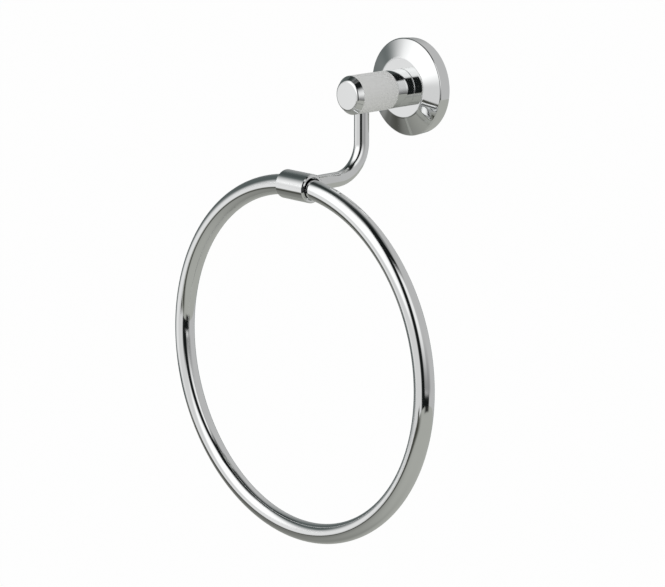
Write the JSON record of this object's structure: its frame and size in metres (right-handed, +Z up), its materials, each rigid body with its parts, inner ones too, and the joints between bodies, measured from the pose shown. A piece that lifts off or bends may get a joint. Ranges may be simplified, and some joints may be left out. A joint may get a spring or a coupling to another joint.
{
  "type": "towel ring",
  "caption": "Wall-mounted towel ring: a round bevelled flange and post carry a bent rod whose cross sleeve holds a large swinging ring of polished round bar.",
  "frame": {"origin": "on the wall plane, at the axis of the post and flange, midway between the wall plate's screw holes", "axes": "+X to the right when facing the wall, +Y into the wall, +Z up; the object lies at negative Y"},
  "size_m": [0.186, 0.0866, 0.2465],
  "materials": {
    "polished_chrome": "bright chrome plating on polished brass",
    "satin_chrome": "satin chrome plating on fine-blasted brass",
    "zinc_plated_steel": "bright zinc plating on steel"
  },
  "bodies": {
    "bracket": {"wall_plate": "zinc_plated_steel", "wall_flange": "polished_chrome", "flange_lock_screw": "zinc_plated_steel", "post": "polished_chrome", "post_screw": "zinc_plated_steel", "rod_set_screw": "zinc_plated_steel", "barrel": "satin_chrome", "end_cap": "polished_chrome", "hanger_rod": "polished_chrome", "ring_sleeve": "polished_chrome"},
    "swinging_ring": {"ring": "polished_chrome"}
  },
  "joints": [
    {"name": "ring_swing", "type": "hinge", "parent": "bracket", "child": "swinging_ring", "pos_m": [0, -0.0795, -0.041], "axis": [1, 0, 0], "range_deg": [-205, 25]}
  ]
}
